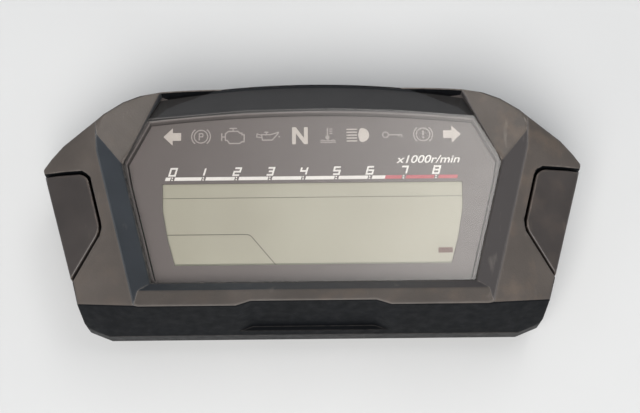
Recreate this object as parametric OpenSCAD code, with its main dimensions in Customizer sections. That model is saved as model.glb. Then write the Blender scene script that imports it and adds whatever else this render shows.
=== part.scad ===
// Digital instrument cluster for a motorcycle.
// The display faces +Z and the top of the display is towards +Y. The rear mounting faces are at z = 0.
// The modules are laid out about the centre of the display, and placed() moves them so that the origin
// lies below the middle of the case.

/* [Case] */
// Overall width of the case across the two wings
case_w = 190; // [186:1:194]
// Height of the joint between the rear case and the front case
seam_z = 20; // [19:0.5:21]
// Height of the ridge round the display above the mounting faces
lip_z = 46; // [45:0.5:47]
// Thickness of the moulded walls
wall = 2.6; // [2.2:0.1:3]
// Radius of the long arc along the top edge
top_arc_r = 319; // [300:1:340]
// How far the shallow panel in the bottom wall is set in
panel_depth = 1.8; // [1:0.1:2.4]

/* [Lens] */
// Height of the flat front face of the lens
lens_z = 40; // [39.5:0.1:40.5]
// Thickness of the lens
lens_t = 2.5; // [2:0.1:3]
// Radius of the crease between the flat window and the sloping top band
crease_r = 502; // [480:1:520]
// Slope of the top band, as fall over run
band_slope = 0.243; // [0.2:0.01:0.28]

/* [Side buttons] */
// Gap round each button cap
button_gap = 0.9; // [0.6:0.1:1.2]
// How far each button can be pressed
button_travel = 1; // [0.6:0.1:1.2]
// Radius of the stem under each button cap
stem_r = 3.2; // [2.8:0.1:3.4]
// Running clearance between moving round parts, on the radius
running_gap = 0.06; // [0.03:0.01:0.1]

/* [Rear] */
// Height of the outer face of the rear wall
rear_z = 8; // [7:0.5:9]
// Core radius of the M5 threads in the mounting inserts
mount_core_r = 2.1; // [2:0.05:2.3]
// Length of each mounting insert
insert_len = 9; // [7:0.5:10]
// Number of contacts in each of the two rows of the connector
contacts_per_row = 8; // [6:1:9]

/* [Display] */
// Thickness of the circuit board
board_t = 1.6; // [1.2:0.1:2]
// Thickness of the liquid crystal panel
lcd_t = 2.2; // [1.8:0.1:2.4]
// Number of pins that carry the liquid crystal panel's signals
lcd_pins_n = 31; // [21:2:35]

/* [Hidden] */
$fn = 64;

fine_fn = 720;
big = 400;
half_w = case_w / 2;
seam_gap = 0.4;
front_base_z = seam_z + seam_gap;
inner_wall = wall + 0.4;

// Corners of the right wing, seen from the front
wing_tip = [53.4, 41.6, 42.5];
window_corner = [66, 17.3, 40.4];
ridge_corner = [75.5, 26.6, 45.2];
ridge_back = [72.3, 33.4, 46.2];
outer_corner = [half_w, 15.8, 36.2];
lip_top = [73.7, 14.3, lip_z];
lip_bottom = [62.2, -30.4, lip_z];
button_foot = [83, -26.3, 38];
wing_foot = [80.9, -33.5, 38];
lens_side = [64.4, 9.2, lens_z];
lens_foot = [55.4, -25.4, lens_z];
rail_inner = [0, -30.3, 44];
rail_outer = [0, -36.5, lip_z];
lens_bottom_y = -26.6;
base_corner = [72, -41.2, seam_z];
base_side = [80.1, -37.9];
lip_foot = [59, -36.4, lip_z];

top_edge_y = 46.7;
lens_edge_inset = 0.6;
crease_y = 36.4;
lens_grow = 2.2;
lens_bottom_z = lens_z - lens_t;
gasket_t = 0.3;
ledge_z = lens_bottom_z - gasket_t;
aperture_inset = 0.6;
body_half_x = 70;

// Side buttons: the pocket, the cap and the stem
pocket_z = 28;
pocket_floor = 2.4;
pocket_wall = 2.2;
guide_z = pocket_z - pocket_floor;
stem_at = [81, -3];
stem_end_z = 23.9;
clip_t = 0.8;
clip_z = guide_z - 0.25 - clip_t;
clip_groove_r = stem_r - 0.8;
clip_play = 0.05;
clip_r = stem_r + 1.3;
cap_low_z = pocket_z + button_travel + 0.8;
cap_wall = 1.8;
cap_sink = 0.3;
seal_r = stem_r + 2.6;

// Heights of the parts inside
rear_inner_z = rear_z + 2.4;
board_z = 15;
board_top = board_z + board_t;
deck_z = 33;
faceplate_z = 34.2;
faceplate_t = 0.8;
lcd_z = 31.6;
diffuser_z = 29.6;
diffuser_t = 1.5;
box_z = board_top + 0.4;

// Display window and the row of telltales
lcd_window = [[-52.9, 10.4], [-52.7, 0.6], [-50.7, -10.1], [-48, -19.5],
    [48, -19.5], [50.7, -10.1], [52.7, 0.6], [52.9, 10.4]];
telltale_x = [-49.5, -39.2, -28, -15.7, -4.4, 5.6, 16.7, 28.4, 38.9, 49.1];
telltale_y = 27.6;
tunnel = [8, 9];

case_screw_at = [[-72, 24], [72, 24], [-57, -34.4], [57, -34.4], [-30, 37.6], [30, 37.6], [0, -33.6]];
case_screw_r = 1.45;
boss_r = 3.8;
boss_gap = 1;
mount_at = [[-69.5, -31], [69.5, -31], [0, 33]];
mount_boss_r = 7.6;
spigot_r = 4.2;
spigot_z = 4.5;
grommet_r = 7.6;
board_screw_at = [[-60.5, 28], [60.5, 28], [-60, -23.5], [60, -23.5]];
board_screw_r = 1.2;
connector_at = [0, 2];
connector_size = [38, 13.5];
connector_wall = 1.4;
connector_end_z = 1.2;
breather_at = [42, 6];
breather_r = 4;

// Switches under the side buttons
switch_size = 6.6;
switch_h = 4;
switch_plunger_r = 1.75;
plunger_gap = 0.2;
plunger_top_z = stem_end_z - plunger_gap;
plunger_low_z = board_top + 0.4 + button_travel + 0.2;

// Joint and screws of the rear case
gasket_in = 0.9;
gasket_w = 1.1;
gasket_low_z = seam_z - 0.7;
rear_chamfer = 4;
head_r = 2.9;
head_seat_z = rear_z + 2.6;
insert_r = 3.2;
insert_cap = 1.6;
insert_top_z = insert_len + insert_cap;

// Connector contacts
contact_pitch = 4;
contact_row_y = 2.4;
contact_w = 0.9;

// Pegs of the light box, and the pins of the liquid crystal panel
box_peg_at = [[-50, 31.2], [50, 31.2], [-53.2, -17], [53.2, -17]];
box_peg_r = 1.1;
lcd_pin_y = -22.95;
lcd_pin_w = 0.5;
lcd_pin_pitch = 2.9;

// Lamps on the board
led_h = 1.2;
backlight_at = [for (x = [-42, -25.2, -8.4, 8.4, 25.2, 42], y = [-11, 2]) [x, y]];

// Light box, diffuser and liquid crystal panel
box_points = [[-52, 34], [52, 34], [56.6, 17], [54.6, -21.4], [-54.6, -21.4], [-56.6, 17]];
lcd_size = [108.6, 34.4];
lcd_centre = [0, -4.9];
lcd_play = 0.2;
chamber_size = [101, 28];
diffuser_size = [105, 31.6];
polarizer_t = 0.2;

// Outline of the circuit board, with an ear under each button
board_points = [
    [-58, 32], [58, 32], [64.5, 32], [66.5, 10], [84, 9], [84, -8.6], [66, -9.6], [64, -27],
    [-64, -27], [-66, -9.6], [-84, -8.6], [-84, 9], [-66.5, 10], [-64.5, 32]
];

// Right half of the outline, from the end of the top arc round to the bottom
outline_right = [
    [60.8, 40.2], [66.4, 37.6], [ridge_back.x, ridge_back.y], [79, 29.2], [87.8, 23.6], [92.2, 19.3],
    [outer_corner.x, outer_corner.y], [button_foot.x, button_foot.y], [wing_foot.x, wing_foot.y],
    base_side, [base_corner.x, base_corner.y]
];
arc_steps = 24;
arc_end_x = 53.4;
top_arc = [for (i = [-arc_steps:arc_steps]) let (x = arc_end_x * i / arc_steps)
    [x, top_edge_y - top_arc_r + sqrt(top_arc_r * top_arc_r - x * x)]];

middle_y = (top_edge_y + base_corner.y) / 2;

function flipped(points) = [for (i = [len(points) - 1:-1:0]) [-points[i].x, points[i].y]];
function unit(v) = v / norm(v);
function left_normal(a, b) = unit([a.y - b.y, b.x - a.x]);

// Moves every edge of a polygon inwards by d. The corners run clockwise, seen from the front.
function inset(p, d) = [for (i = [0:len(p) - 1])
    let (
        n1 = -left_normal(p[(i + len(p) - 1) % len(p)], p[i]),
        n2 = -left_normal(p[i], p[(i + 1) % len(p)])
    )
    p[i] + (n1 + n2) * d / (1 + n1 * n2)];

case_points = concat(top_arc, outline_right, flipped(outline_right));

// Window: what shows of the lens between the wings. It runs off the case at the top.
window_right = [[49.2, 49.8], [window_corner.x, window_corner.y], [lens_side.x, lens_side.y],
    [lens_foot.x, lens_foot.y], [53.7, lens_bottom_y]];
window_points = concat([[0, 49.8]], window_right, flipped(window_right));

// Right button pocket. Its outer side is open.
pocket_points = [[100, 14.2], [100, -25.6], [82.8, -25.6], [73.1, -10.6], [72.4, -7.4], [77.2, 10.9],
    [80.2, 12.9]];
cap_points = inset(pocket_points, button_gap);

// Half-space behind the plane through three points, which run counter-clockwise as seen from outside
module behind(p, q, r) {
    n = cross(q - p, r - p);
    translate(p)
        rotate([0, acos(n.z / norm(n)), atan2(n.y, n.x)])
            translate([-big, -big, -2 * big])
                cube(2 * big);
}

module slab(z0, z1) {
    translate([0, 0, z0])
        linear_extrude(z1 - z0)
            children();
}

module post(at, z0, z1, r) {
    translate([at.x, at.y, z0])
        cylinder(h = z1 - z0, r = r);
}

module block(at, size, z0, z1) {
    translate([at.x - size.x / 2, at.y - size.y / 2, z0])
        cube([size.x, size.y, z1 - z0]);
}

module both_sides() {
    children();
    mirror([1, 0, 0])
        children();
}

module placed() {
    translate([0, -middle_y, 0])
        children();
}

module left_side() {
    mirror([1, 0, 0])
        children();
}

// Space under the flat front face and the sloping top band of the lens, for a flat face at top_z
module under_lens_face(top_z) {
    rise = top_z - front_base_z + 1;
    translate([0, crease_y - crease_r, top_z - rise])
        cylinder(h = rise, r1 = crease_r + rise / band_slope, r2 = crease_r, $fn = fine_fn);
}

module top_disc(d) {
    translate([0, top_edge_y - top_arc_r])
        circle(r = top_arc_r - d, $fn = fine_fn);
}

module crease_disc(d) {
    translate([0, crease_y - crease_r])
        circle(r = crease_r - d, $fn = fine_fn);
}

// Outline of the hole behind the lens
module aperture(d) {
    intersection() {
        polygon(inset(window_points, aperture_inset + d));
        crease_disc(aperture_inset + d);
    }
}

module lens_outline(d) {
    intersection() {
        polygon(inset(window_points, d - lens_grow));
        top_disc(lens_edge_inset + d);
    }
}

// ---- Front case ----

module wing_space() {
    intersection() {
        behind(wing_tip, window_corner, ridge_corner);
        behind(ridge_corner, outer_corner, ridge_back);
        block([0, 0], [2 * ridge_corner.x, 2 * outer_corner.x], front_base_z, 2 * lip_z);
    }
    intersection() {
        behind(lens_side, lip_bottom, lip_top);
        behind(lip_top, lip_bottom, button_foot);
        behind(ridge_corner, outer_corner, ridge_back);
    }
}

module rail_space() {
    along = [10, 0, 0];
    intersection() {
        behind(rail_outer, rail_outer + along, rail_inner);
        behind(rail_inner, rail_inner + along, [0, lens_bottom_y, lens_z]);
        behind(lip_top, lip_bottom, button_foot);
        left_side()
            behind(lip_top, lip_bottom, button_foot);
    }
}

module bottom_wall_space() {
    behind([-base_corner.x, base_corner.y, seam_z], base_corner, [0, lip_foot.y, lip_z]);
}

module bottom_side_space() {
    behind(base_corner, wing_foot, lip_foot);
}

// Shallow panel let into the middle of the bottom wall, from the ridge down to a ledge
module bottom_panel() {
    half_top = 21.2;
    flare = 5;
    ledge_up = 3.6;
    draft = atan2(lip_foot.y - base_corner.y, lip_z - seam_z);
    outside = 4;
    spread = flare * (panel_depth + outside) / panel_depth;
    translate([0, lip_foot.y, lip_z])
        rotate([-draft, 0, 0])
            translate([0, 0, seam_z + ledge_up - lip_z])
                linear_extrude(lip_z)
                    polygon([
                        [-half_top, panel_depth], [half_top, panel_depth],
                        [half_top + spread, -outside], [-half_top - spread, -outside]
                    ]);
}

module front_case_solid() {
    intersection() {
        slab(front_base_z, lip_z + wall)
            polygon(case_points);
        union() {
            both_sides()
                wing_space();
            rail_space();
            intersection() {
                under_lens_face(lens_z - seam_gap);
                block([0, 0], [2 * body_half_x, 2 * body_half_x], front_base_z, lip_z);
            }
        }
        bottom_wall_space();
        bottom_side_space();
        left_side()
            bottom_side_space();
    }
}

// Room for the boards and the light box, open to the rear
module front_case_cavity() {
    deck_points = inset(case_points, inner_wall);
    intersection() {
        union() {
            slab(front_base_z - 1, guide_z)
                polygon(deck_points);
            difference() {
                slab(guide_z - 1, deck_z)
                    polygon(deck_points);
                both_sides()
                    slab(guide_z - 2, deck_z + 1)
                        polygon(inset(pocket_points, -pocket_wall));
            }
        }
        translate([0, inner_wall + panel_depth, 0])
            bottom_wall_space();
        translate([-inner_wall, inner_wall, 0])
            bottom_side_space();
        left_side()
            translate([-inner_wall, inner_wall, 0])
                bottom_side_space();
    }
    slab(deck_z - 1, lens_z)
        aperture(0);
}

// Room inside the upper wings
module wing_hollow() {
    top_drop = 3;
    hollow_points = [[74.5, 30], [71.6, 27.4], [75, 17.4], [88, 17.4], [86, 22.4], [79, 26.4]];
    intersection() {
        slab(deck_z - 1, lip_z)
            polygon(hollow_points);
        translate([0, 0, -top_drop])
            wing_space();
    }
}

module lens_pocket() {
    fit = 0.15;
    difference() {
        union() {
            slab(front_base_z, 2 * lip_z)
                intersection() {
                    polygon(window_points);
                    top_disc(lens_edge_inset - fit);
                }
            intersection() {
                slab(front_base_z, lip_z)
                    lens_outline(-fit);
                translate([0, 0, fit])
                    under_lens_face(lens_z);
            }
        }
        translate([0, 0, -fit])
            under_lens_face(lens_bottom_z);
    }
    slab(ledge_z, lens_bottom_z)
        intersection() {
            lens_outline(-fit);
            crease_disc(0);
        }
}

module case_screw_bosses() {
    for (at = case_screw_at)
        post(at, front_base_z, deck_z + 1, boss_r);
}

module front_case() {
    color("#3b3633")
        difference() {
            union() {
                difference() {
                    front_case_solid();
                    front_case_cavity();
                    both_sides()
                        wing_hollow();
                }
                intersection() {
                    front_case_solid();
                    case_screw_bosses();
                }
            }
            lens_pocket();
            bottom_panel();
            both_sides() {
                slab(pocket_z, 2 * lip_z)
                    polygon(pocket_points);
                post(stem_at, guide_z - 1, pocket_z + 1, stem_r + running_gap);
            }
            for (at = case_screw_at)
                post(at, front_base_z - 1, deck_z - 2, case_screw_r + running_gap);
        }
}

// ---- Lens ----

module lens() {
    color("#6d6766", 0.55)
        intersection() {
            slab(front_base_z, lens_z)
                lens_outline(0);
            difference() {
                under_lens_face(lens_z);
                under_lens_face(lens_bottom_z);
            }
        }
}

module lens_gasket() {
    rim = 0.3;
    set_back = 0.4;
    color("#1c1c1c")
        slab(ledge_z, lens_bottom_z)
            difference() {
                intersection() {
                    lens_outline(rim);
                    crease_disc(rim);
                }
                aperture(-set_back);
            }
}

// ---- Side buttons ----

// Space under the two planes that the button's face lies in, d below the wing
module cap_face_space(d) {
    translate([0, 0, -d])
        intersection() {
            behind(lip_top, lip_bottom, button_foot);
            behind(ridge_corner, outer_corner, ridge_back);
        }
}

module cap_solid(d) {
    intersection() {
        slab(cap_low_z, lip_z)
            intersection() {
                polygon(inset(cap_points, d));
                polygon(inset(case_points, d));
            }
        cap_face_space(cap_sink + d);
    }
}

module button() {
    skirt_below = 1;
    web_t = 1.4;
    web_reach = [20, 40];
    web_up = 2;
    color("#423c3a") {
        difference() {
            union() {
                difference() {
                    cap_solid(0);
                    translate([0, 0, -skirt_below])
                        cap_solid(cap_wall);
                }
                intersection() {
                    translate([0, 0, -skirt_below])
                        cap_solid(cap_wall);
                    union() {
                        block(stem_at, [web_t, web_reach.y], cap_low_z + web_up, lip_z);
                        block(stem_at, [web_reach.x, web_t], cap_low_z + web_up, lip_z);
                    }
                }
                intersection() {
                    post(stem_at, stem_end_z, lip_z, stem_r);
                    cap_face_space(cap_sink + cap_wall / 2);
                }
            }
            difference() {
                post(stem_at, clip_z - clip_play, clip_z + clip_t + clip_play, stem_r + 1);
                post(stem_at, clip_z - 1, clip_z + clip_t + 1, clip_groove_r);
            }
        }
    }
}

module right_button() {
    button();
}

module left_button() {
    left_side()
        button();
}

module stem_clip() {
    mouth = 4.6;
    color("#8b8f94")
        difference() {
            post(stem_at, clip_z, clip_z + clip_t, clip_r);
            post(stem_at, clip_z - 1, clip_z + clip_t + 1, clip_groove_r + clip_play);
            block([stem_at.x - clip_r, stem_at.y], [2 * clip_r, mouth], clip_z - 1, clip_z + clip_t + 1);
        }
}

module right_stem_clip() {
    stem_clip();
}

module left_stem_clip() {
    left_side()
        stem_clip();
}

module stem_seal() {
    seal_h = 0.6;
    lip_gap = 0.3;
    color("#202020")
        difference() {
            post(stem_at, pocket_z, pocket_z + seal_h, seal_r);
            post(stem_at, pocket_z - 1, pocket_z + seal_h + 1, stem_r + lip_gap);
        }
}

module right_stem_seal() {
    stem_seal();
}

module left_stem_seal() {
    left_side()
        stem_seal();
}

// ---- Rear case ----

module rear_shell() {
    chamfer_points = inset(case_points, rear_chamfer);
    hull() {
        slab(rear_z + rear_chamfer, rear_z + rear_chamfer + 1)
            polygon(case_points);
        slab(rear_z, rear_z + 1)
            polygon(chamfer_points);
    }
    slab(rear_z + rear_chamfer, seam_z)
        polygon(case_points);
}

module rear_cavity() {
    step_z = rear_z + rear_chamfer + 1;
    slab(rear_inner_z, step_z)
        polygon(inset(case_points, rear_chamfer));
    slab(step_z - 0.5, seam_z + 1)
        polygon(inset(case_points, inner_wall));
}

module rear_ribs() {
    rib_w = 2;
    rib_h = 1.2;
    rib_x = [-54, -30, 24, 58];
    rib_y = [-22, 22];
    rib_reach = [118, 56];
    for (x = rib_x)
        block([x, 0], [rib_w, rib_reach.y], rear_z - rib_h, rear_z + 1);
    for (y = rib_y)
        block([0, y], [rib_reach.x, rib_w], rear_z - rib_h, rear_z + 1);
}

module board_posts() {
    post_wall = 1.8;
    for (at = board_screw_at)
        post(at, rear_z + 1, board_z, board_screw_r + post_wall);
}

module connector_opening(gap) {
    block(connector_at, connector_size + [2 * gap, 2 * gap], rear_z - 3, rear_inner_z + 1);
}

module rear_case() {
    collar = 2;
    collar_h = 1.6;
    opening_gap = 0.9;
    boss_flare = 0.7;
    plug_wall = 1.8;
    plug_h = 2;
    groove_gap = 0.1;
    head_gap = 0.4;
    shank_gap = 0.2;
    blind_floor = 1.6;
    color("#2b2b2c")
        difference() {
            union() {
                difference() {
                    rear_shell();
                    rear_cavity();
                }
                rear_ribs();
                board_posts();
                intersection() {
                    rear_shell();
                    for (at = case_screw_at)
                        post(at, rear_z, seam_z, boss_r + boss_flare);
                }
                for (at = mount_at) {
                    post(at, spigot_z, insert_top_z, mount_boss_r);
                    post(at, 0, spigot_z + 1, spigot_r);
                }
                block(connector_at, connector_size + 2 * [opening_gap + collar, opening_gap + collar],
                    rear_z - collar_h, rear_inner_z);
                post(breather_at, rear_z - plug_h, rear_z + 1, breather_r + plug_wall);
            }
            connector_opening(opening_gap);
            post(breather_at, rear_z - plug_h - 1, rear_inner_z + 1, breather_r);
            translate([0, 0, gasket_low_z])
                linear_extrude(seam_z - gasket_low_z + 1)
                    difference() {
                        polygon(inset(case_points, gasket_in - groove_gap));
                        polygon(inset(case_points, gasket_in + gasket_w + groove_gap));
                    }
            for (at = case_screw_at) {
                post(at, rear_z - 2, head_seat_z, head_r + head_gap);
                post(at, rear_z - 2, seam_z + 1, case_screw_r + shank_gap);
            }
            for (at = mount_at)
                post(at, -1, insert_top_z + 1, insert_r);
            for (at = board_screw_at)
                post(at, rear_z + blind_floor, board_z + 1, board_screw_r + running_gap);
        }
}

module case_gasket() {
    color("#1d1d1d")
        slab(gasket_low_z, front_base_z)
            difference() {
                polygon(inset(case_points, gasket_in));
                polygon(inset(case_points, gasket_in + gasket_w));
            }
}

module cross_recess(at, top, depth, up) {
    arm = 0.7;
    reach = 3;
    low = up ? top - depth : top - 1;
    high = up ? top + 1 : top + depth;
    block(at, [reach, arm], low, high);
    block(at, [arm, reach], low, high);
}

module case_screws() {
    head_h = 1.9;
    tip = 1.4;
    length = 17;
    color("#b9bcbf")
        for (at = case_screw_at)
            difference() {
                union() {
                    post(at, head_seat_z - head_h, head_seat_z, head_r);
                    post(at, head_seat_z - 0.5, head_seat_z + length - tip, case_screw_r);
                    translate([at.x, at.y, head_seat_z + length - tip])
                        cylinder(h = tip, r1 = case_screw_r, r2 = case_screw_r / 3);
                }
                cross_recess(at, head_seat_z - head_h, 1, false);
            }
}

module mount_inserts() {
    groove_z = [2.4, 5.2];
    groove = 0.3;
    color("#b8924a")
        for (at = mount_at)
            difference() {
                post(at, 0, insert_top_z, insert_r);
                post(at, -1, insert_len, mount_core_r);
                for (z = groove_z)
                    difference() {
                        post(at, z, z + 1, insert_r + 1);
                        post(at, z - 1, z + 2, insert_r - groove);
                    }
            }
}

module mount_grommets() {
    plate_low = 1.2;
    plate_t = 2;
    waist = 1.7;
    color("#242424")
        for (at = mount_at)
            difference() {
                post(at, 0, spigot_z, grommet_r);
                post(at, -1, spigot_z + 1, spigot_r);
                difference() {
                    post(at, plate_low, plate_low + plate_t, grommet_r + 1);
                    post(at, plate_low - 1, plate_low + plate_t + 1, grommet_r - waist);
                }
            }
}

module breather_plug() {
    head = 1.4;
    vent_r = 0.8;
    vents = 5;
    color("#3f4347")
        difference() {
            union() {
                post(breather_at, rear_z - 2 - head, rear_z - 2, breather_r + 1.4);
                post(breather_at, rear_z - 2.5, rear_inner_z, breather_r);
            }
            post(breather_at, rear_z - 2, rear_inner_z + 1, breather_r - 1.4);
            for (i = [0:vents - 1])
                rotate_about(breather_at, i * 360 / vents)
                    post(breather_at + [breather_r - 2.4, 0], rear_z - 4, rear_z, vent_r);
        }
}

module rotate_about(at, angle) {
    translate([at.x, at.y, 0])
        rotate(angle)
            translate([-at.x, -at.y, 0])
                children();
}

// ---- Connector ----

module connector_housing() {
    socket_floor_z = board_z - 3;
    latch_slot = 6;
    color("#d8d6cf")
        difference() {
            block(connector_at, connector_size, connector_end_z, board_z);
            block(connector_at, connector_size - 2 * [connector_wall, connector_wall],
                connector_end_z - 1, socket_floor_z);
            block(connector_at + [0, connector_size.y / 2], [latch_slot, 2 * connector_wall + 1],
                connector_end_z - 1, rear_z - 2.5);
            for (at = contact_places())
                block(at, [contact_w, contact_w], socket_floor_z - 1, board_z + 1);
        }
}

function contact_places() = [for (row = [-1, 1], i = [0:contacts_per_row - 1])
    connector_at + [(i - (contacts_per_row - 1) / 2) * contact_pitch, row * contact_row_y]];

module connector_pins() {
    pin_low_z = connector_end_z + 4.9;
    color("#c9b37c")
        for (at = contact_places())
            block(at, [contact_w, contact_w], pin_low_z, board_top + 0.8);
}

module connector_seal() {
    seal_w = 0.9;
    color("#b5482f")
        slab(rear_inner_z - 1.2, rear_inner_z)
            difference() {
                translate(connector_at)
                    square(connector_size + 2 * [seal_w, seal_w], center = true);
                translate(connector_at)
                    square(connector_size, center = true);
            }
}

// ---- Circuit board ----

function lcd_pin_places() = [for (i = [0:lcd_pins_n - 1])
    [(i - (lcd_pins_n - 1) / 2) * lcd_pin_pitch, lcd_pin_y]];

module main_board() {
    hole_gap = 0.15;
    color("#1f5c3a")
        difference() {
            slab(board_z, board_top)
                polygon(board_points);
            for (at = board_screw_at)
                post(at, board_z - 1, board_top + 1, board_screw_r + 0.2);
            for (at = box_peg_at)
                post(at, board_z - 1, board_top + 1, box_peg_r + hole_gap);
            for (at = contact_places())
                block(at, [contact_w, contact_w], board_z - 1, board_top + 1);
            for (at = lcd_pin_places())
                block(at, [lcd_pin_w, lcd_pin_w], board_z - 1, board_top + 1);
        }
}

module board_screws() {
    head_h = 1.6;
    board_head_r = 2.4;
    reach = 4;
    color("#c3c6c8")
        for (at = board_screw_at)
            difference() {
                union() {
                    post(at, board_top, board_top + head_h, board_head_r);
                    post(at, board_z - reach + 0.6, board_top + 0.5, board_screw_r);
                }
                cross_recess(at, board_top + head_h, 0.9, true);
            }
}

// Flat package under the board with legs along two or four sides
module chip(at, size, height, legs, four_sided) {
    leg_pitch = 1.27;
    leg_w = 0.5;
    leg_reach = 1;
    leg_t = 0.35;
    block(at, size, board_z - height, board_z);
    for (i = [0:legs - 1], side = [-1, 1]) {
        along = (i - (legs - 1) / 2) * leg_pitch;
        block(at + [along, side * size.y / 2], [leg_w, 2 * leg_reach], board_z - leg_t, board_z);
        if (four_sided)
            block(at + [side * size.x / 2, along], [2 * leg_reach, leg_w], board_z - leg_t, board_z);
    }
}

module controller_chip() {
    color("#26282b")
        chip([-38, 4], [16, 16], 1.8, 12, true);
}

module memory_chip() {
    color("#26282b")
        chip([-38, -16], [5.4, 4.2], 1.5, 4, false);
}

module driver_chip() {
    color("#26282b")
        chip([34, -14], [12, 6], 1.8, 9, false);
}

module regulator() {
    color("#2a2b2e")
        union() {
            block([52, 14], [6.6, 6.2], board_z - 2.3, board_z);
            for (x = [49.8, 54.2])
                block([x, 9.6], [0.9, 3.4], board_z - 0.6, board_z);
        }
}

module capacitors() {
    color("#a9aeb4")
        for (at = [[60.8, 17.5], [60.8, 9.6], [-60.8, 17.5]]) {
            block(at, [6.6, 6.6], board_top, board_top + 0.9);
            post(at, board_top + 0.5, board_top + 7.7, 3.1);
        }
}

module choke() {
    color("#4a4642")
        difference() {
            block([-60.8, 7], [7, 7], board_top, board_top + 4.2);
            post([-60.8, 7], board_top + 3.2, board_top + 5, 2.4);
        }
}

module crystal() {
    color("#c8cacc")
        hull()
            for (x = [-24.4, -19.6])
                post([x, -14], board_z - 3.4, board_z, 1.9);
}

module chip_resistors() {
    resistor_size = [2, 1.25];
    columns = 6;
    rows = 3;
    color("#34302e")
        for (i = [0:columns - 1], j = [0:rows - 1])
            block([-14 + 5 * i, 19 + 3.6 * j], resistor_size, board_z - 0.6, board_z);
}

// ---- Switches under the side buttons ----

module switch_body() {
    lead_w = 0.8;
    color("#1f2023")
        difference() {
            union() {
                block(stem_at, [switch_size, switch_size], board_top, board_top + switch_h);
                post(stem_at, board_top + 1, board_top + switch_h + 0.9, switch_plunger_r + 1);
                for (x = [-2.4, 2.4])
                    block(stem_at + [x, 0], [lead_w, switch_size + 2], board_top, board_top + 0.4);
            }
            post(stem_at, board_top + 0.4, board_top + switch_h + 2, switch_plunger_r + running_gap);
        }
}

module right_switch_body() {
    switch_body();
}

module left_switch_body() {
    left_side()
        switch_body();
}

module switch_plunger() {
    color("#d9d6cc")
        post(stem_at, plunger_low_z, plunger_top_z, switch_plunger_r);
}

module right_switch_plunger() {
    switch_plunger();
}

module left_switch_plunger() {
    left_side()
        switch_plunger();
}

// ---- Lamps, light box and display ----

module led(at) {
    block(at, [3.2, 2.8], board_top, board_top + led_h);
    post(at, board_top + led_h - 0.1, board_top + led_h + 0.15, 1.1);
}

module backlight_leds() {
    color("#efe9c8")
        for (at = backlight_at)
            led(at);
}

module telltale_leds() {
    color("#dfe6ea")
        for (x = telltale_x)
            led([x, telltale_y]);
}

// Space between the thin walls of the light box, open towards the board
module light_box_hollow() {
    skin = 1.5;
    deck_t = 2;
    difference() {
        slab(box_z - 1, diffuser_z - deck_t)
            polygon(inset(box_points, skin));
        block(lcd_centre, chamber_size + 2 * [skin, skin], box_z - 2, lip_z);
        for (x = telltale_x)
            block([x, telltale_y], tunnel + 2 * [skin, skin], box_z - 2, lip_z);
        for (at = box_peg_at)
            post(at, box_z - 2, lip_z, box_peg_r + skin);
        for (at = case_screw_at)
            post(at, box_z - 2, lip_z, boss_r + boss_gap + skin);
    }
}

module light_box() {
    flange_z = deck_z + 0.4;
    color("#eceae4")
        difference() {
            union() {
                intersection() {
                    slab(box_z, faceplate_z)
                        polygon(inset(box_points, -0.1));
                    slab(box_z, faceplate_z)
                        aperture(0.4);
                }
                slab(flange_z, faceplate_z)
                    aperture(0.4);
                for (at = box_peg_at)
                    post(at, board_z - 0.8, box_z + 1, box_peg_r);
            }
            light_box_hollow();
            block(lcd_centre, chamber_size, box_z - 1, diffuser_z + 1);
            block(lcd_centre, diffuser_size + 2 * [lcd_play, lcd_play], diffuser_z, lcd_z + 1);
            block(lcd_centre, lcd_size + 2 * [lcd_play, lcd_play], lcd_z - 0.25, faceplate_z + 1);
            for (x = telltale_x)
                block([x, telltale_y], tunnel, box_z - 1, faceplate_z + 1);
            for (at = case_screw_at)
                post(at, box_z - 1, faceplate_z + 1, boss_r + boss_gap);
        }
}

module diffuser() {
    color("#f2f1ea")
        block(lcd_centre, diffuser_size, diffuser_z, diffuser_z + diffuser_t);
}

module lcd_rear_polarizer() {
    margin = 1.2;
    color("#9d9f8c")
        block(lcd_centre, lcd_size - 2 * [margin, margin], lcd_z - polarizer_t, lcd_z);
}

module lcd_panel() {
    ledge = 2.6;
    color("#b6b8a4", 0.85)
        union() {
            block(lcd_centre, lcd_size, lcd_z, lcd_z + lcd_t / 2);
            block(lcd_centre + [0, ledge / 2], lcd_size - [0, ledge],
                lcd_z + lcd_t / 2 - 0.01, lcd_z + lcd_t);
        }
}

module lcd_front_polarizer() {
    margin = 0.8;
    ledge = 2.6;
    color("#a9ab97", 0.9)
        block(lcd_centre + [0, ledge / 2], lcd_size - [2 * margin, 2 * margin + ledge],
            lcd_z + lcd_t, lcd_z + lcd_t + polarizer_t);
}

module lcd_pins() {
    color("#c9ccce")
        for (at = lcd_pin_places())
            block(at, [lcd_pin_w, lcd_pin_w], board_z - 0.8, lcd_z + 1);
}

module face_plate() {
    color("#6a6464")
        difference() {
            slab(faceplate_z, faceplate_z + faceplate_t)
                aperture(0.4);
            slab(faceplate_z - 1, faceplate_z + faceplate_t + 1)
                polygon(lcd_window);
        }
}

placed() front_case();
placed() lens();
placed() lens_gasket();
placed() left_button();
placed() right_button();
placed() left_stem_clip();
placed() right_stem_clip();
placed() left_stem_seal();
placed() right_stem_seal();
placed() rear_case();
placed() case_gasket();
placed() case_screws();
placed() mount_inserts();
placed() mount_grommets();
placed() breather_plug();
placed() connector_housing();
placed() connector_pins();
placed() connector_seal();
placed() main_board();
placed() board_screws();
placed() controller_chip();
placed() memory_chip();
placed() driver_chip();
placed() regulator();
placed() capacitors();
placed() choke();
placed() crystal();
placed() chip_resistors();
placed() left_switch_body();
placed() right_switch_body();
placed() left_switch_plunger();
placed() right_switch_plunger();
placed() backlight_leds();
placed() telltale_leds();
placed() light_box();
placed() diffuser();
placed() lcd_rear_polarizer();
placed() lcd_panel();
placed() lcd_front_polarizer();
placed() lcd_pins();
placed() face_plate();
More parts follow.
